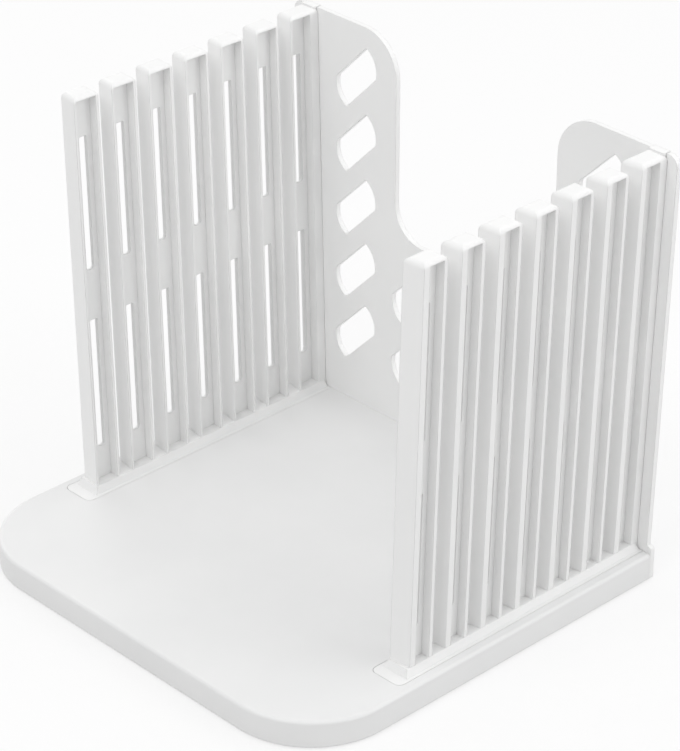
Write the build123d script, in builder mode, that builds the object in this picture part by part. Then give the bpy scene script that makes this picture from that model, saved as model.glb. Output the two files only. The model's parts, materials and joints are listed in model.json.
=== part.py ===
from build123d import *
import os
from math import atan, cos, degrees, radians, sin

# Bread slicer guide: a board with a slotted rack standing on each side of it and a pierced
# plate across its back. Millimetres, Z up, front towards -Y. The origin is on the table,
# under the middle of the whole guide.

# Board: a shell with ribs under it
board_width = 175.0
board_depth = 160.5
board_thickness = 9.7
board_corner_radius = 32.0
board_edge_round = 1.2
board_skin = 2.4
board_wall = 2.6
rib_thickness = 1.8
rib_pitch = 17.2

# Anti-slip pads, let into round bosses under the board
pad_radius = 6.0
pad_thickness = 1.6
pad_drop = 0.6
pad_edge_chamfer = 0.3
pad_inset_side = 29.5
pad_inset_front = 34.0
pad_inset_rear = 22.5
pad_boss_wall = 1.6
pad_clearance = 0.05

# Foot of a rack, let flush into the board, with tongues under it
foot_inset = 10.15
foot_width = 13.3
foot_thickness = 2.5
foot_corner_radius = 2.5
foot_front_from_board = 43.5
foot_clearance = 0.12
foot_depth_clearance = 0.05
band_wall = 2.6
tongue_width = 6.0
tongue_length = 18.0
tongue_depth = 6.2
tongue_tip_chamfer = 0.8
tongue_count = 3
tongue_clearance = 0.12

# Rack: upright bars with a gap between each two, leaning outwards
rack_lean = 1.5
rack_thickness = 8.0
rack_front_from_board = 49.7
rack_rear_clearance = 0.1
plinth_height = 2.7
plinth_margin = 0.3
plinth_spread = 1.1
bar_pitch = 16.25
bar_depth = 10.5
bar_top = 150.4
bar_end_round = 1.9

# A bar is hollowed from both faces: a fin in front, a fin behind and a web between them
front_fin_inner = 0.95
front_fin_outer = 2.5
front_fin_sweep = 1.15
rear_fin_inner = 1.15
rear_fin_outer = 1.5
rear_fin_sweep = 0.75
web_depth = 3.7
web_thickness = 1.1
cap_thickness = 1.5
slit_middle_from_front = 5.8
slit_width = 3.3
slit_bottom_round = 1.4
slit_top_round = 0.4
lower_slit_bottom = 15.2
lower_slit_length = 50.0
upper_slit_bottom = 84.3
upper_slit_length = 49.8

# Lug of a rack, held in an open notch in the plate's top edge
lug_width = 6.4
lug_height = 3.4
lug_above_plate = 0.2
lug_clearance = 0.2

# Back plate
plate_thickness = 2.0
plate_foot_height = 12.4
plate_foot_round = 1.5
plate_overhang = 4.2
plate_height = 160.3
plate_outer_corner = 4.0
window_half_width = 38.0
window_bottom = 84.7
window_upper_corner = 16.0
window_lower_corner = 13.0

# Leaf-shaped holes in the back plate
leaf_half_width = 9.9
leaf_half_height = 12.8
leaf_apex_x = 5.0
leaf_bulge_x = 9.2
leaf_bulge_z = 8.4
leaf_side_z = 2.4
leaf_corner_round = 1.2
outer_leaf_margin = 10.0
leaf_pitch = 25.35
top_leaf_margin = 7.7
leaf_floor = 20.0
leaf_sill = 8.1

# Pegs of the back plate, in sockets in the board's rear edge
peg_radius = 2.0
peg_length = 8.0
peg_tip_chamfer = 0.5
peg_inset_from_foot = 20.7
peg_clearance = 0.08
socket_extra_depth = 0.5
socket_wall = 2.2

# Places worked out from the sizes above
board_front = -(board_depth + plate_thickness) / 2
board_rear = board_front + board_depth
board_bottom = pad_drop
board_top = board_bottom + board_thickness
foot_middle_x = board_width / 2 - foot_inset
foot_front = board_front + foot_front_from_board
rack_front = board_front + rack_front_from_board
rack_rear = board_rear - rack_rear_clearance
plate_rear = board_rear + plate_thickness
plate_top = board_bottom + plate_height
half_rack = rack_thickness / 2
bar_root = foot_thickness / 2
cap_underside = bar_top - cap_thickness
bar_count = 1 + int((rack_rear - rack_front - bar_depth) / bar_pitch)
bar_fronts = [rack_front + bar_pitch * index for index in range(bar_count)]
bar_rears = [front + bar_depth for front in bar_fronts[:-1]] + [rack_rear]
tongue_pitch = (rack_rear - foot_front) / tongue_count
tongue_places = GridLocations(0, tongue_pitch, 1, tongue_count).local_locations
tongue_ys = [(foot_front + rack_rear) / 2 + place.position.Y for place in tongue_places]
pad_spacing_x = board_width - 2 * pad_inset_side
pad_spacing_y = board_depth - pad_inset_front - pad_inset_rear
pad_middle_y = board_front + pad_inset_front + pad_spacing_y / 2
peg_spacing = foot_middle_x - foot_width / 2 - peg_inset_from_foot
peg_xs = (-peg_spacing, 0.0, peg_spacing)
peg_z = board_bottom + board_thickness / 2

# The rack leans outwards about the line where its middle plane meets the board's top
lean = radians(rack_lean)
rack_plane = Plane(
    origin=(foot_middle_x, 0, board_top),
    x_dir=(cos(lean), 0, -sin(lean)),
    z_dir=(sin(lean), 0, cos(lean)),
)
# Seen from the board's middle: first axis to the rear, second axis up the rack
rack_side_plane = Plane(origin=rack_plane.origin, x_dir=(0, 1, 0), z_dir=rack_plane.x_dir)
# Seen from the front: first axis to the right, second axis up
plate_rear_plane = Plane(origin=(0, plate_rear, 0), x_dir=(1, 0, 0), z_dir=(0, -1, 0))
board_rear_plane = Plane(origin=(0, board_rear, 0), x_dir=(1, 0, 0), z_dir=(0, -1, 0))
lug_middle_x = foot_middle_x + sin(lean) * bar_top

# The plate's edges keep an even overhang past the leaning racks, down to the board
plate_edge_at_foot = foot_middle_x + half_rack + plate_overhang - sin(lean) * board_thickness
plate_edge_at_top = foot_middle_x + half_rack + plate_overhang + sin(lean) * (plate_top - board_top)


def rear_strip(middle_x, width, front, rear):
    """Draw a rectangle by its middle line, its width and its two ends."""
    with Locations((middle_x, (front + rear) / 2)):
        Rectangle(width, rear - front)


def across(inner_front, inner_rear, outer_front, outer_rear):
    """Draw a four-sided plan from the rack's inner face to its outer face."""
    Polygon(
        (-half_rack, inner_front),
        (half_rack, outer_front),
        (half_rack, outer_rear),
        (-half_rack, inner_rear),
        align=None,
    )


def rear_sweep(rear):
    """Give how far a bar's rear fin is swept back, which the last one, against the plate, is not."""
    return 0.0 if rear == rack_rear else rear_fin_sweep


def rounded_opening(middle_y, width, bottom, length, bottom_round, top_round):
    """Draw an upright opening with its own radius at each end."""
    front = middle_y - width / 2
    rear = middle_y + width / 2
    top = bottom + length
    with BuildLine() as outline:
        FilletPolyline(
            (front, bottom),
            (rear, bottom),
            (rear, top),
            (front, top),
            radius=[bottom_round, bottom_round, top_round, top_round],
            close=True,
        )
    make_face(outline.edges())


# Board
with BuildPart() as board:
    with BuildSketch(Plane((0, (board_front + board_rear) / 2, board_bottom))) as board_plan:
        Rectangle(board_width, board_depth)
        fillet(board_plan.vertices().group_by(Axis.Y)[0], board_corner_radius)
    extrude(amount=board_thickness)
    board_face = board.faces().sort_by(Axis.Z)[-1]
    open_edges = board_face.edges().sort_by(Axis.Y)[:-1]
    fillet(open_edges, board_edge_round)

    # Hollow between the ribs, clear of the bands that carry the racks' feet
    with BuildSketch(Plane((0, (board_front + board_rear) / 2, board_bottom))) as cells:
        Rectangle(board_width - 2 * board_wall, board_depth - 2 * board_wall)
        fillet(cells.vertices().group_by(Axis.Y)[0], board_corner_radius - board_wall)
        band_front = foot_front - band_wall - (board_front + board_rear) / 2
        band_width = board_width / 2 - foot_middle_x + foot_width / 2 + band_wall
        for side in (-1, 1):
            with Locations((side * (board_width - band_width) / 2, (band_front + board_depth / 2) / 2)):
                Rectangle(band_width, board_depth / 2 - band_front, mode=Mode.SUBTRACT)
        ribs_across = int(board_width / rib_pitch)
        ribs_along = int(board_depth / rib_pitch)
        with GridLocations(rib_pitch, 0, ribs_across, 1):
            Rectangle(rib_thickness, board_depth, mode=Mode.SUBTRACT)
        with GridLocations(0, rib_pitch, 1, ribs_along):
            Rectangle(board_width, rib_thickness, mode=Mode.SUBTRACT)
    extrude(amount=board_thickness - board_skin, mode=Mode.SUBTRACT)

    # Bosses that the pads and the plate's pegs sit in
    with BuildSketch(Plane((0, pad_middle_y, board_bottom))):
        with GridLocations(pad_spacing_x, pad_spacing_y, 2, 2):
            Circle(pad_radius + pad_boss_wall)
    extrude(amount=board_thickness - board_skin)
    with BuildSketch(Plane((0, pad_middle_y, board_bottom))):
        with GridLocations(pad_spacing_x, pad_spacing_y, 2, 2):
            Circle(pad_radius + pad_clearance)
    extrude(amount=pad_thickness - pad_drop, mode=Mode.SUBTRACT)
    socket_radius = peg_radius + peg_clearance
    socket_depth = peg_length + socket_extra_depth
    with BuildSketch(Plane.XY.offset(board_bottom)):
        for peg_x in peg_xs:
            rear_strip(
                peg_x,
                2 * (socket_radius + socket_wall),
                board_rear - socket_depth - socket_wall,
                board_rear - board_wall / 2,
            )
    extrude(amount=board_thickness - board_skin)
    with BuildSketch(board_rear_plane):
        for peg_x in peg_xs:
            with Locations((peg_x, peg_z)):
                Circle(socket_radius)
    extrude(amount=socket_depth, mode=Mode.SUBTRACT)

    # Recesses for the feet, open at the rear, and the sockets for their tongues
    with BuildSketch(Plane.XY.offset(board_top)) as recesses:
        for side in (-1, 1):
            rear_strip(
                side * foot_middle_x,
                foot_width + 2 * foot_clearance,
                foot_front - foot_clearance,
                board_rear,
            )
        fillet(recesses.vertices().group_by(Axis.Y)[0], foot_corner_radius + foot_clearance)
    extrude(amount=-(foot_thickness + foot_depth_clearance), mode=Mode.SUBTRACT)
    with BuildSketch(Plane.XY.offset(board_bottom)):
        for side in (-1, 1):
            with Locations(*[(side * foot_middle_x, tongue_y) for tongue_y in tongue_ys]):
                Rectangle(tongue_width + 2 * tongue_clearance, tongue_length + 2 * tongue_clearance)
    extrude(amount=board_thickness, mode=Mode.SUBTRACT)
board.part.label = "board"


# Bars of the right rack: solid ones with rounded tops, then hollowed from both faces
with BuildPart() as bars:
    with BuildSketch(rack_plane.offset(-bar_root)):
        for front, rear in zip(bar_fronts, bar_rears):
            across(front, rear, front + front_fin_sweep, rear + rear_sweep(rear))
    extrude(amount=bar_root + bar_top)
    rack_axis = Axis(rack_plane.origin, rack_plane.z_dir)
    bar_ends = bars.faces().filter_by(rack_plane).group_by(rack_axis)[-1]
    fillet(bar_ends.edges(), bar_end_round)
    with BuildSketch(rack_plane.offset(plinth_height)):
        for front in bar_fronts:
            across(
                front + front_fin_inner,
                front + bar_depth - rear_fin_inner,
                front + front_fin_sweep + front_fin_outer,
                front + bar_depth + rear_fin_sweep - rear_fin_outer,
            )
        with Locations((web_depth - half_rack, rack_front)):
            Rectangle(
                web_thickness,
                rack_rear - rack_front,
                align=(Align.MIN, Align.MIN),
                mode=Mode.SUBTRACT,
            )
    extrude(amount=cap_underside - plinth_height, mode=Mode.SUBTRACT)

    # Two slits in each bar's web
    with BuildSketch(rack_side_plane):
        for front in bar_fronts:
            for bottom, length in (
                (lower_slit_bottom, lower_slit_length),
                (upper_slit_bottom, upper_slit_length),
            ):
                rounded_opening(
                    front + slit_middle_from_front, slit_width, bottom, length, slit_bottom_round, slit_top_round
                )
    extrude(amount=half_rack, both=True, mode=Mode.SUBTRACT)


# Right rack
with BuildPart() as right_rack:
    with BuildSketch(Plane.XY.offset(board_top)) as foot_plan:
        rear_strip(foot_middle_x, foot_width, foot_front, rack_rear)
        fillet(foot_plan.vertices().group_by(Axis.Y)[0], foot_corner_radius)
    extrude(amount=-foot_thickness)
    with BuildSketch(Plane.XY.offset(board_top - foot_thickness)):
        with Locations(*[(foot_middle_x, tongue_y) for tongue_y in tongue_ys]):
            Rectangle(tongue_width, tongue_length)
    extrude(amount=-tongue_depth)
    tongue_tips = right_rack.faces().group_by(Axis.Z)[0]
    chamfer(tongue_tips.edges(), tongue_tip_chamfer)

    # Low plinth with sloping sides under the bars
    with BuildSketch(Plane.XY.offset(board_top)):
        rear_strip(
            foot_middle_x,
            rack_thickness + 2 * (plinth_margin + plinth_spread),
            rack_front - plinth_margin - plinth_spread,
            rack_rear - plinth_margin,
        )
    extrude(amount=plinth_height, taper=degrees(atan(plinth_spread / plinth_height)))
    add(bars.part)

    # Lug on the last bar, reaching back through the plate's notch
    with BuildSketch(Plane.XY.offset(plate_top + lug_above_plate)):
        rear_strip(lug_middle_x, lug_width, rack_rear - rear_fin_inner, plate_rear)
    lug = extrude(amount=-lug_height, mode=Mode.PRIVATE)
    add(lug)
right_rack.part.label = "right_rack"


# Left rack, the right one's mirror image
with BuildPart() as left_rack:
    mirror(right_rack.part, about=Plane.YZ)
left_rack.part.label = "left_rack"


# Outline of one leaf-shaped hole round its own middle
with BuildSketch() as leaf:
    with BuildLine():
        Line((-leaf_half_width, -leaf_side_z), (leaf_apex_x, leaf_half_height))
        ThreePointArc(
            (leaf_apex_x, leaf_half_height),
            (leaf_bulge_x, leaf_bulge_z),
            (leaf_half_width, leaf_side_z),
        )
        Line((leaf_half_width, leaf_side_z), (-leaf_apex_x, -leaf_half_height))
        ThreePointArc(
            (-leaf_apex_x, -leaf_half_height),
            (-leaf_bulge_x, -leaf_bulge_z),
            (-leaf_half_width, -leaf_side_z),
        )
    make_face()
    fillet(leaf.vertices(), leaf_corner_round)


# Back plate
with BuildPart() as back_plate:
    with BuildSketch(plate_rear_plane) as plate_face:
        Polygon(
            (-plate_edge_at_foot, board_bottom),
            (plate_edge_at_foot, board_bottom),
            (plate_edge_at_top, plate_top),
            (-plate_edge_at_top, plate_top),
            align=None,
        )
        with Locations((0, board_bottom + window_bottom)):
            Rectangle(
                2 * window_half_width,
                plate_height - window_bottom,
                align=(Align.CENTER, Align.MIN),
                mode=Mode.SUBTRACT,
            )
        inner_corners = plate_face.vertices().filter_by(
            lambda corner: abs(abs(corner.X) - window_half_width) < plate_thickness
        )
        fillet(inner_corners.group_by(Axis.Y)[0], window_lower_corner)
        top_corners = plate_face.vertices().group_by(Axis.Y)[-1].sort_by(Axis.X)
        fillet(top_corners[1:3], window_upper_corner)
        top_corners = plate_face.vertices().group_by(Axis.Y)[-1].sort_by(Axis.X)
        fillet([top_corners[0], top_corners[-1]], plate_outer_corner)
        with Locations((0, board_bottom)):
            foot_bar = Rectangle(
                board_width, plate_foot_height, align=(Align.CENTER, Align.MIN)
            )
        shoulders = plate_face.vertices().filter_by(
            lambda corner: abs(corner.X) > board_width / 2 - plate_foot_round / 9
        )
        shoulders = shoulders.filter_by_position(
            Axis.Y, board_bottom + plate_foot_height / 2, board_bottom + plate_foot_height * 3 / 2
        )
        fillet(shoulders, plate_foot_round)
    extrude(amount=plate_thickness)

    # Open notches for the racks' lugs
    with BuildSketch(plate_rear_plane):
        for side in (-1, 1):
            with Locations((side * lug_middle_x, plate_top + lug_above_plate)):
                Rectangle(
                    lug_width + 2 * lug_clearance,
                    lug_height + lug_clearance,
                    align=(Align.CENTER, Align.MAX),
                )
    extrude(amount=plate_thickness, mode=Mode.SUBTRACT)

    # Leaf-shaped holes: tall columns beside the window and short ones under it
    outer_column_x = window_half_width + outer_leaf_margin + leaf_half_width
    outer_rows = int((plate_height - top_leaf_margin - leaf_floor) / leaf_pitch)
    inner_rows = int((window_bottom - leaf_sill - leaf_floor) / leaf_pitch)
    top_row = plate_top - top_leaf_margin - leaf_half_height
    rows = [top_row - leaf_pitch * row for row in range(outer_rows)]
    outer_leaves = [(side * outer_column_x, row) for side in (-1, 1) for row in rows]
    inner_leaves = [(side * outer_column_x / 2, row) for side in (-1, 0, 1) for row in rows[-inner_rows:]]
    with BuildSketch(plate_rear_plane):
        with Locations(*outer_leaves, *inner_leaves):
            add(leaf.sketch)
    extrude(amount=plate_thickness, mode=Mode.SUBTRACT)

    # Pegs on the front face
    with BuildSketch(board_rear_plane):
        for peg_x in peg_xs:
            with Locations((peg_x, peg_z)):
                Circle(peg_radius)
    extrude(amount=peg_length)
    peg_tips = back_plate.faces().group_by(Axis.Y)[0]
    chamfer(peg_tips.edges(), peg_tip_chamfer)
back_plate.part.label = "back_plate"


# Pads
pads = []
for end_name, end in (("front", -1), ("rear", 1)):
    for side_name, side in (("left", -1), ("right", 1)):
        pad_x = side * pad_spacing_x / 2
        pad_y = pad_middle_y + end * pad_spacing_y / 2
        with BuildPart() as pad:
            with BuildSketch(Plane((pad_x, pad_y, 0))):
                Circle(pad_radius)
            extrude(amount=pad_thickness)
            chamfer(pad.edges().group_by(Axis.Z)[0], pad_edge_chamfer)
        pad.part.label = f"pad_{end_name}_{side_name}"
        pads.append(pad.part)


os.makedirs("parts", exist_ok=True)
for piece in (board.part, left_rack.part, right_rack.part, back_plate.part, *pads):
    export_step(piece, f"parts/{piece.label}.step")
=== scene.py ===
"""Looks of the bread slicer guide: finishes, pads, floor, light and camera round the fixed frame."""

from __future__ import annotations

import json
import logging
import math
from dataclasses import dataclass
from enum import Enum, IntEnum
from typing import Any, Union

import bpy
import numpy as np
from mathutils import Matrix, Vector

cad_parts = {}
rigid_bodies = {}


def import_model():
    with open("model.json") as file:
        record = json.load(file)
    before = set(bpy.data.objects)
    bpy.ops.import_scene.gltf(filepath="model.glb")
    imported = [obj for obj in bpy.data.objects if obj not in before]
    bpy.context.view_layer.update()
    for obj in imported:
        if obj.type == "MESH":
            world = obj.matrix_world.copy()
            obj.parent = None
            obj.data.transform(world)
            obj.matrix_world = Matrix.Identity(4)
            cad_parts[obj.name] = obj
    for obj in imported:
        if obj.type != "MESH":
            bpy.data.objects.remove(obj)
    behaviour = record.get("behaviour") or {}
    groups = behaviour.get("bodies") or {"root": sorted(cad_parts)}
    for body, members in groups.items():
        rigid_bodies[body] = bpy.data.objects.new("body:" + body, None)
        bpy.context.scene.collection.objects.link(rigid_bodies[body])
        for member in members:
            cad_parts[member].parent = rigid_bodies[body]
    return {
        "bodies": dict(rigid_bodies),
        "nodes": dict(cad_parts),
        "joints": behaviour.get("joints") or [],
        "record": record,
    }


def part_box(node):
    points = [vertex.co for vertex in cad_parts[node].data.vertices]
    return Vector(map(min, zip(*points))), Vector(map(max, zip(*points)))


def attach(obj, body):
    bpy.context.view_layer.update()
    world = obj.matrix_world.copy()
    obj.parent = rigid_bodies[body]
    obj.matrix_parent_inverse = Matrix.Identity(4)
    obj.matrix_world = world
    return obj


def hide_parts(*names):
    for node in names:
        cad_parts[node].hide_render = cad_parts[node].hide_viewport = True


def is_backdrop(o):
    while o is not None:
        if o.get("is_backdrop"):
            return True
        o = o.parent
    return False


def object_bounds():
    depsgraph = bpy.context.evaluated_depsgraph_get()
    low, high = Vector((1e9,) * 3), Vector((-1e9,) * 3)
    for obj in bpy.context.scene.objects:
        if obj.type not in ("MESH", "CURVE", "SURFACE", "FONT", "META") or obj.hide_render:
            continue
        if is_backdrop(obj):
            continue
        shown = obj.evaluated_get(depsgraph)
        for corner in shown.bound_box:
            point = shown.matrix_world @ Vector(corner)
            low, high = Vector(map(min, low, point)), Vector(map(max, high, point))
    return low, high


LOG = logging.getLogger("bread_slicer_guide")
MM = 0.001
RIGHT_ANGLE = 90.0

Number = Union[int, float]
Colour = tuple[float, float, float, float]
Axes = tuple[float, float, float]
Step = tuple[float, float]

WHITE: Colour = (1.0, 1.0, 1.0, 1.0)
NO_STRETCH: Axes = (1.0, 1.0, 1.0)
NOISE_MIDDLE = 0.5
NOISE_ROUGHNESS = 0.55
EDGE_SAMPLES = 6


class Side(Enum):
    """Side of the board that a pad lies on, as its node's name says it."""

    LEFT = "left"
    RIGHT = "right"


class End(Enum):
    """End of the board that a pad lies at, as its node's name says it."""

    FRONT = "front"
    REAR = "rear"


class ColourMix(IntEnum):
    """Numbers of the Mix node's sockets for colours, since other sockets share their names."""

    SHARE = 0
    FIRST = 6
    SECOND = 7
    RESULT = 2


# ---------------------------------------------------------------- shader maths


class Value:
    """A number in a node tree, on which Python's operators add Math nodes."""

    def __init__(self, nodes: Nodes, socket: Any) -> None:
        """Wrap a socket that gives a number.

        Args:
            nodes: The node tree that the socket belongs to.
            socket: The node's output socket.
        """
        self.nodes = nodes
        self.socket = socket

    def _math(self, operation: str, *terms: Value | Number, clamp: bool = False) -> Value:
        """Add one Math node.

        Args:
            operation: The node's operation.
            terms: Its inputs, in order.
            clamp: Whether the result is kept between 0 and 1.

        Returns:
            The node's result.
        """
        settings = {"operation": operation, "use_clamp": clamp}
        made = self.nodes.node("ShaderNodeMath", settings, dict(enumerate(terms)))
        return Value(self.nodes, made.outputs[0])

    def __add__(self, other: Value | Number) -> Value:
        """Give the sum."""
        return self._math("ADD", self, other)

    __radd__ = __add__

    def __sub__(self, other: Value | Number) -> Value:
        """Give the difference."""
        return self._math("SUBTRACT", self, other)

    def __rsub__(self, other: Number) -> Value:
        """Give the difference from a plain number."""
        return self._math("SUBTRACT", other, self)

    def __mul__(self, other: Value | Number) -> Value:
        """Give the product."""
        return self._math("MULTIPLY", self, other)

    __rmul__ = __mul__

    def __or__(self, other: Value) -> Value:
        """Give the sum, kept between 0 and 1: 1 where either mask is 1."""
        return self._math("ADD", self, other, clamp=True)

    def step_up(self, low: float, high: float) -> Value:
        """Give a smooth step from 0 at low to 1 at high.

        Args:
            low: Where the step starts.
            high: Where the step ends.

        Returns:
            The step.
        """
        settings = {"interpolation_type": "SMOOTHSTEP"}
        inputs = {"Value": self, "From Min": low, "From Max": high}
        return Value(self.nodes, self.nodes.node("ShaderNodeMapRange", settings, inputs).outputs[0])


class Nodes:
    """The node tree of a material or of the world."""

    def __init__(self, tree: Any) -> None:
        """Take the node tree that nodes are added to."""
        self.tree = tree

    def node(self, kind: str, settings: dict[str, Any], inputs: dict[Any, Any]) -> Any:
        """Add a node: its settings first, then the values or links of its sockets.

        Args:
            kind: The node's type.
            settings: Attribute names and values.
            inputs: Socket names or numbers, and a value, a Value or a socket for each.

        Returns:
            The node.
        """
        made = self.tree.nodes.new(kind)
        for name, setting in settings.items():
            setattr(made, name, setting)
        for key, given in inputs.items():
            self.feed(made.inputs[key], given)
        return made

    def feed(self, target: Any, given: Any) -> None:
        """Set a socket to a plain value, or link it.

        Args:
            target: The input socket.
            given: A number, a tuple, a Value or an output socket.
        """
        if isinstance(given, Value):
            self.tree.links.new(given.socket, target)
        elif isinstance(given, bpy.types.NodeSocket):
            self.tree.links.new(given, target)
        else:
            target.default_value = given

    def shown_rays(self) -> Value:
        """Give 1 for the rays that show a thing to the eye: straight, mirrored or seen through.

        Returns:
            The mask, 0 for the rays that only carry light.
        """
        path = self.node("ShaderNodeLightPath", {}, {}).outputs
        straight, mirrored, seen_through = (
            Value(self, path[name]) for name in ("Is Camera Ray", "Is Glossy Ray", "Is Transmission Ray")
        )
        return straight | mirrored | seen_through

    def show(self, output: str, share: Value, first: Any, second: Any) -> None:
        """Mix two shaders and link the mix to the tree's output.

        Args:
            output: Name of the output node.
            share: Share of the second shader.
            first: Socket of the shader at share 0.
            second: Socket of the shader at share 1.
        """
        mix = self.node("ShaderNodeMixShader", {}, dict(enumerate((share, first, second))))
        self.feed(self.tree.nodes[output].inputs["Surface"], mix.outputs[0])


class Shader(Nodes):
    """One material's node tree, with the surface shader already in it."""

    def __init__(self, name: str) -> None:
        """Start a material.

        Args:
            name: The material's name.
        """
        self.material = bpy.data.materials.new(name)
        self.material.use_nodes = True
        super().__init__(self.material.node_tree)
        self.surface = self.tree.nodes["Principled BSDF"]

    def dress(self, **looks: Any) -> None:
        """Give the surface its looks.

        Args:
            looks: Socket names of the surface, with _ for a space, and what each is fed.
        """
        for name, given in looks.items():
            self.feed(self.surface.inputs[name.replace("_", " ")], given)

    def noise(self, size: float, layers: float, stretch: Axes = NO_STRETCH) -> Value:
        """Give a noise around NOISE_MIDDLE.

        Args:
            size: Size of its larger spots, in metres.
            layers: Number of finer layers.
            stretch: How much longer the spots are along each axis.

        Returns:
            The noise.
        """
        place = self.node("ShaderNodeTexCoord", {}, {}).outputs["Object"]
        scale = tuple(1.0 / (size * longer) for longer in stretch)
        mapped = self.node("ShaderNodeMapping", {}, {"Vector": place, "Scale": scale}).outputs[0]
        inputs = {"Vector": mapped, "Scale": 1.0, "Detail": layers, "Roughness": NOISE_ROUGHNESS}
        return Value(self, self.node("ShaderNodeTexNoise", {}, inputs).outputs[0])

    def blend(self, share: Value, first: Colour, second: Colour) -> Any:
        """Mix two colours.

        Args:
            share: Share of the second colour.
            first: Colour at share 0.
            second: Colour at share 1.

        Returns:
            The mixed colour's socket.
        """
        inputs = {ColourMix.SHARE: share, ColourMix.FIRST: first, ColourMix.SECOND: second}
        return self.node("ShaderNodeMix", {"data_type": "RGBA"}, inputs).outputs[ColourMix.RESULT]

    def relief(self, height: Value, depth: float, normal: Any = None) -> Any:
        """Turn a height into a bumped normal.

        Args:
            height: Height, from 0 to 1.
            depth: Depth of the relief in metres.
            normal: Normal that it starts from, or None for the surface's own.

        Returns:
            The normal's socket.
        """
        inputs = {"Height": height, "Distance": depth, "Strength": 1.0}
        if normal is not None:
            inputs["Normal"] = normal
        return self.node("ShaderNodeBump", {}, inputs).outputs[0]

    def soft_edges(self, radius: float) -> Any:
        """Give the normal as if every edge were rounded.

        Args:
            radius: Radius of the rounding in metres.

        Returns:
            The normal's socket.
        """
        return self.node("ShaderNodeBevel", {"samples": EDGE_SAMPLES}, {"Radius": radius}).outputs[0]


# -------------------------------------------------------------------- finishes


@dataclass(frozen=True)
class MouldedPlastic:
    """Satin white plastic as it comes out of a mould.

    The colour drifts a little between a clear and a shaded white, as the melt does. The gloss
    varies in long faint flow bands, over a fine grain and a much wider, shallow waviness.
    """

    name: str
    clear_white: Colour = (0.900, 0.900, 0.896, 1.0)
    shaded_white: Colour = (0.880, 0.881, 0.878, 1.0)
    drift_size: float = 45.0 * MM
    drift_layers: float = 3.0
    drift_step: Step = (0.30, 0.70)
    roughness: float = 0.42
    roughness_of_bands: float = 0.08
    roughness_of_grain: float = 0.04
    flow: Axes = (1.0, 1.0, 4.0)
    band_size: float = 9.0 * MM
    band_layers: float = 2.0
    band_step: Step = (0.25, 0.75)
    grain_size: float = 0.35 * MM
    grain_layers: float = 2.0
    grain_depth: float = 0.010 * MM
    wave_size: float = 22.0 * MM
    wave_layers: float = 1.0
    wave_depth: float = 0.10 * MM
    edge_radius: float = 0.45 * MM
    refraction: float = 1.52

    def material(self) -> bpy.types.Material:
        """Make the material.

        Returns:
            The material.
        """
        shader = Shader(self.name)
        drift = shader.noise(self.drift_size, self.drift_layers).step_up(*self.drift_step)
        bands = shader.noise(self.band_size, self.band_layers, self.flow).step_up(*self.band_step)
        grain = shader.noise(self.grain_size, self.grain_layers)
        waves = shader.noise(self.wave_size, self.wave_layers, self.flow)
        band_gloss = self.roughness_of_bands * (bands - NOISE_MIDDLE)
        grain_gloss = self.roughness_of_grain * (grain - NOISE_MIDDLE)
        waved = shader.relief(waves, self.wave_depth, shader.soft_edges(self.edge_radius))
        shader.dress(
            Base_Color=shader.blend(drift, self.clear_white, self.shaded_white),
            Roughness=self.roughness + band_gloss + grain_gloss,
            Normal=shader.relief(grain, self.grain_depth, waved),
            IOR=self.refraction,
        )
        return shader.material


@dataclass(frozen=True)
class SoftRubber:
    """Soft light grey rubber with a fine grain, and dust that dulls it in patches."""

    name: str
    light_grey: Colour = (0.45, 0.45, 0.44, 1.0)
    dusty_grey: Colour = (0.56, 0.56, 0.55, 1.0)
    dust_size: float = 3.5 * MM
    dust_layers: float = 4.0
    dust_step: Step = (0.45, 0.75)
    roughness: float = 0.72
    roughness_of_dust: float = 0.2
    grain_size: float = 0.25 * MM
    grain_layers: float = 3.0
    grain_depth: float = 0.03 * MM

    def material(self) -> bpy.types.Material:
        """Make the material.

        Returns:
            The material.
        """
        shader = Shader(self.name)
        grain = shader.noise(self.grain_size, self.grain_layers)
        dust = shader.noise(self.dust_size, self.dust_layers).step_up(*self.dust_step)
        shader.dress(
            Base_Color=shader.blend(dust, self.light_grey, self.dusty_grey),
            Roughness=self.roughness + self.roughness_of_dust * (dust - NOISE_MIDDLE),
            Normal=shader.relief(grain, self.grain_depth),
        )
        return shader.material


# ---------------------------------------------------------------- surface maths


def grid_mesh(name: str, points: np.ndarray, wraps: bool) -> bpy.types.Object:
    """Make an object from a grid of points, each cell one four-sided face.

    The cell at row i and column j has the corners (i, j), (i, j + 1), (i + 1, j + 1) and
    (i + 1, j), and where the grid wraps, the column after the last is the first.

    Args:
        name: The object's name.
        points: Array of rows by columns by 3, in metres.
        wraps: Whether the last column joins the first.

    Returns:
        The object, linked to the scene.
    """
    rows, columns = points.shape[:2]
    across = columns if wraps else columns - 1
    row, column = np.meshgrid(np.arange(rows - 1), np.arange(across), indexing="ij")
    beside = (column + 1) % columns
    corners = (
        row * columns + column,
        row * columns + beside,
        (row + 1) * columns + beside,
        (row + 1) * columns + column,
    )
    faces = np.stack(corners, axis=-1).reshape(-1, len(corners))
    mesh = bpy.data.meshes.new(name)
    mesh.from_pydata(points.reshape(-1, points.shape[-1]).tolist(), [], faces.tolist())
    mesh.validate()
    mesh.shade_smooth()
    made = bpy.data.objects.new(name, mesh)
    bpy.context.scene.collection.objects.link(made)
    return made


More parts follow.
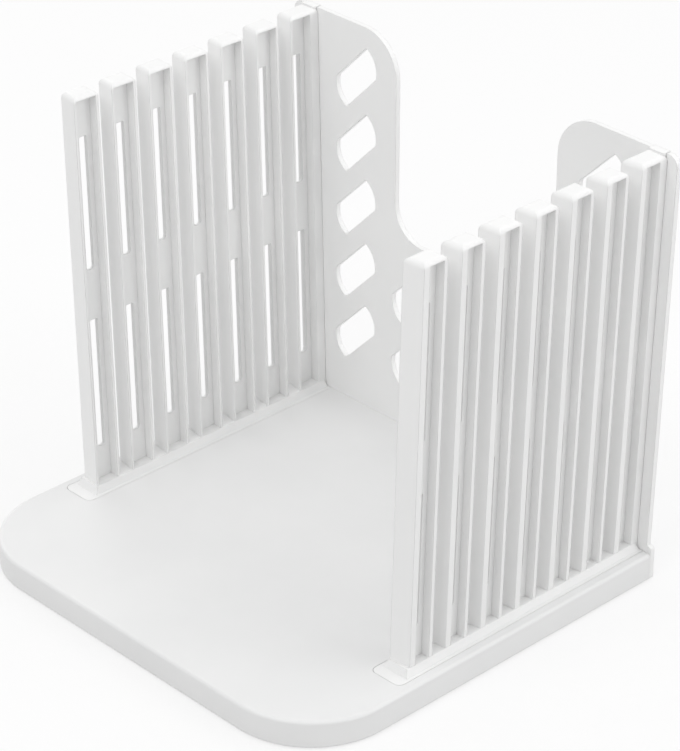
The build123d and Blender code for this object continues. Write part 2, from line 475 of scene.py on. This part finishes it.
def turned_surface(profile: np.ndarray, centre: Vector, steps: int) -> np.ndarray:
    """Turn a profile round an upright axis.

    A point at radius r and height z goes to centre + (r cos t, r sin t, z), for angles t all
    the way round.

    Args:
        profile: Array of points by 2: radius and height, in metres.
        centre: Foot of the axis.
        steps: Number of angles.

    Returns:
        Array of points by steps by 3.
    """
    angle = np.linspace(0.0, 2 * math.pi, steps, endpoint=False)
    radius, height = profile[:, :1], profile[:, 1:]
    x = centre.x + radius * np.cos(angle)
    y = centre.y + radius * np.sin(angle)
    z = centre.z + height + np.zeros_like(angle)
    return np.stack((x, y, z), axis=-1)


# ---------------------------------------------------------------- sub-assemblies


@dataclass
class Mouldings:
    """The four white mouldings, which keep their CAD shape and get their finish."""

    frame: dict[str, Any]
    board: MouldedPlastic = MouldedPlastic(
        "board_white",
        clear_white=(0.845, 0.846, 0.844, 1.0),
        shaded_white=(0.825, 0.827, 0.826, 1.0),
        roughness=0.46,
        flow=(1.0, 4.0, 1.0),
    )
    rack: MouldedPlastic = MouldedPlastic("rack_white")
    plate: MouldedPlastic = MouldedPlastic("plate_white", wave_depth=0.06 * MM, flow=(4.0, 1.0, 1.0))

    def dress(self) -> None:
        """Give each moulding its finish."""
        rack = self.rack.material()
        finishes = {
            "board": self.board.material(),
            "left_rack": rack,
            "right_rack": rack,
            "back_plate": self.plate.material(),
        }
        for name, material in finishes.items():
            slots = self.frame["nodes"][name].data.materials
            slots.clear()
            slots.append(material)
            LOG.info("%s has the finish %s", name, material.name)


@dataclass
class Pads:
    """The four anti-slip pads: a rounded rim and rings pressed into the underside."""

    finish: SoftRubber = SoftRubber("pad_rubber_soft")
    steps: int = 64
    under_points: int = 61
    rim_points: int = 7
    rim_round: float = 0.35 * MM
    ring_count: int = 3
    ring_depth: float = 0.18 * MM

    def profile(self, radius: float, height: float) -> np.ndarray:
        """Work out a pad's profile from the middle of its underside to the middle of its top.

        The underside rises by ring_depth times half of 1 - cos over ring_count waves, the rim
        is a quarter circle of rim_round, and the side and the top are straight.

        Args:
            radius: The pad's radius.
            height: The pad's height.

        Returns:
            Array of points by 2: radius and height.
        """
        flat = radius - self.rim_round
        share = np.linspace(0.0, 1.0, self.under_points)
        wave = (1 - np.cos(2 * math.pi * self.ring_count * share)) / 2
        under = np.column_stack((share * flat, self.ring_depth * wave))
        turn = np.linspace(0.0, math.pi / 2, self.rim_points)[1:]
        rim = np.column_stack((flat + self.rim_round * np.sin(turn), self.rim_round * (1 - np.cos(turn))))
        top = np.array([[radius, height], [0.0, height]])
        return np.vstack((under, rim, top))

    def build(self, end: End, side: Side, material: bpy.types.Material) -> bpy.types.Object:
        """Make one pad in its node's place.

        Args:
            end: End of the board.
            side: Side of the board.
            material: The pads' material.

        Returns:
            The pad's object.
        """
        node = f"pad_{end.value}_{side.value}"
        low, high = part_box(node)
        centre = Vector(((low.x + high.x) / 2, (low.y + high.y) / 2, low.z))
        outline = self.profile((high.x - low.x) / 2, high.z - low.z)
        pad = grid_mesh(f"{node}_ringed", turned_surface(outline, centre, self.steps), wraps=True)
        pad.data.materials.append(material)
        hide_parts(node)
        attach(pad, "board")
        LOG.info("%s has %d faces", pad.name, len(pad.data.polygons))
        return pad

    def build_all(self) -> list[bpy.types.Object]:
        """Make the four pads."""
        material = self.finish.material()
        return [self.build(end, side, material) for end in End for side in Side]


# ------------------------------------------------------------------------ studio


@dataclass(frozen=True)
class Lamp:
    """A square soft lamp that faces the object, by its place from the object's middle."""

    name: str
    away: Axes
    size: float
    power: float

    def hang(self, centre: Vector) -> None:
        """Hang the lamp.

        Args:
            centre: The object's middle.
        """
        light = bpy.data.lights.new(self.name, "AREA")
        light.size = self.size
        light.energy = self.power
        lamp = bpy.data.objects.new(self.name, light)
        away = Vector(self.away)
        turn = away.to_track_quat("Z", "Y").to_matrix().to_4x4()
        lamp.matrix_world = Matrix.Translation(centre + away) @ turn
        bpy.context.scene.collection.objects.link(lamp)


@dataclass
class Studio:
    """A white floor, an even world and large soft lamps all round."""

    centre: Vector
    floor_size: float = 6.0
    floor_points: int = 3
    floor_drop: float = 0.2 * MM
    floor_colour: Colour = (0.72, 0.72, 0.72, 1.0)
    floor_roughness: float = 0.9
    floor_glow: float = 1.12
    floor_glow_share: float = 0.62
    world_strength: float = 0.58
    world_shown: float = 1.0
    lamps: tuple[Lamp, ...] = (
        Lamp("top_lamp", away=(-0.10, 0.15, 1.30), size=1.2, power=0.8),
        Lamp("front_lamp", away=(0.10, -0.90, 1.20), size=0.9, power=7.0),
        Lamp("right_lamp", away=(1.10, 0.55, 0.60), size=0.9, power=4.2),
        Lamp("rear_lamp", away=(0.20, 1.00, 0.90), size=0.9, power=2.6),
        Lamp("left_lamp", away=(-1.20, 0.20, 0.50), size=0.9, power=2.8),
    )

    def floor(self) -> None:
        """Lay a floor that reads white where it lies open and still takes the object's shadow.

        It is a flat square grid in x and y, floor_drop under the object's rest.
        """
        half = self.floor_size / 2
        line = np.linspace(-half, half, self.floor_points)
        x, y = np.meshgrid(line, line)
        points = np.stack((x, y, np.full_like(x, -self.floor_drop)), axis=-1)
        floor = grid_mesh("floor", points, wraps=False)
        floor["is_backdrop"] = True
        shader = Shader("floor_white")
        shader.dress(Base_Color=self.floor_colour, Roughness=self.floor_roughness)
        glow = shader.node("ShaderNodeEmission", {}, {"Color": WHITE, "Strength": self.floor_glow})
        share = shader.shown_rays() * self.floor_glow_share
        shader.show("Material Output", share, shader.surface.outputs[0], glow.outputs[0])
        floor.data.materials.append(shader.material)

    def world(self) -> None:
        """Light the scene from all round, and show plain white behind it."""
        world = bpy.data.worlds.new("studio_white")
        world.use_nodes = True
        bpy.context.scene.world = world
        sky = Nodes(world.node_tree)
        light = sky.tree.nodes["Background"]
        sky.feed(light.inputs["Color"], WHITE)
        sky.feed(light.inputs["Strength"], self.world_strength)
        shown = sky.node("ShaderNodeBackground", {}, {"Color": WHITE, "Strength": self.world_shown})
        sky.show("World Output", sky.shown_rays(), light.outputs[0], shown.outputs[0])

    def build(self) -> None:
        """Make the floor, the world and the lamps."""
        self.floor()
        self.world()
        for lamp in self.lamps:
            lamp.hang(self.centre)


@dataclass
class PhotoCamera:
    """The photograph's viewpoint, solved from the board's edges and the plate's outline."""

    place: Axes = (0.6833, -0.63695, 0.6082)
    azimuth: float = 46.29
    elevation: float = 29.69
    roll: float = 0.07
    focal_pixels: float = 3224.0
    frame_height: float = 751.0
    sensor: float = 36.0
    nearest: float = 0.05
    farthest: float = 20.0

    def build(self) -> bpy.types.Object:
        """Make the camera and make it the scene's own.

        Returns:
            The camera's object.
        """
        data = bpy.data.cameras.new("photo_camera")
        data.sensor_width = self.sensor
        data.lens = self.sensor * self.focal_pixels / self.frame_height
        data.clip_start = self.nearest
        data.clip_end = self.farthest
        camera = bpy.data.objects.new("photo_camera", data)
        turn = (
            Matrix.Rotation(math.radians(self.azimuth), 4, "Z")
            @ Matrix.Rotation(math.radians(RIGHT_ANGLE - self.elevation), 4, "X")
            @ Matrix.Rotation(math.radians(self.roll), 4, "Z")
        )
        camera.matrix_world = Matrix.Translation(Vector(self.place)) @ turn
        bpy.context.scene.collection.objects.link(camera)
        bpy.context.scene.camera = camera
        return camera


def main() -> None:
    """Dress the frame and set up the floor, the light and the camera."""
    logging.basicConfig(level=logging.INFO, format="%(name)s: %(message)s")
    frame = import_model()
    cad_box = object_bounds()
    centre = (cad_box[0] + cad_box[1]) / 2
    PhotoCamera().build()
    Mouldings(frame).dress()
    Pads().build_all()
    Studio(centre).build()
    bpy.context.scene.view_settings.view_transform = "Standard"


if __name__ == "__main__":
    main()
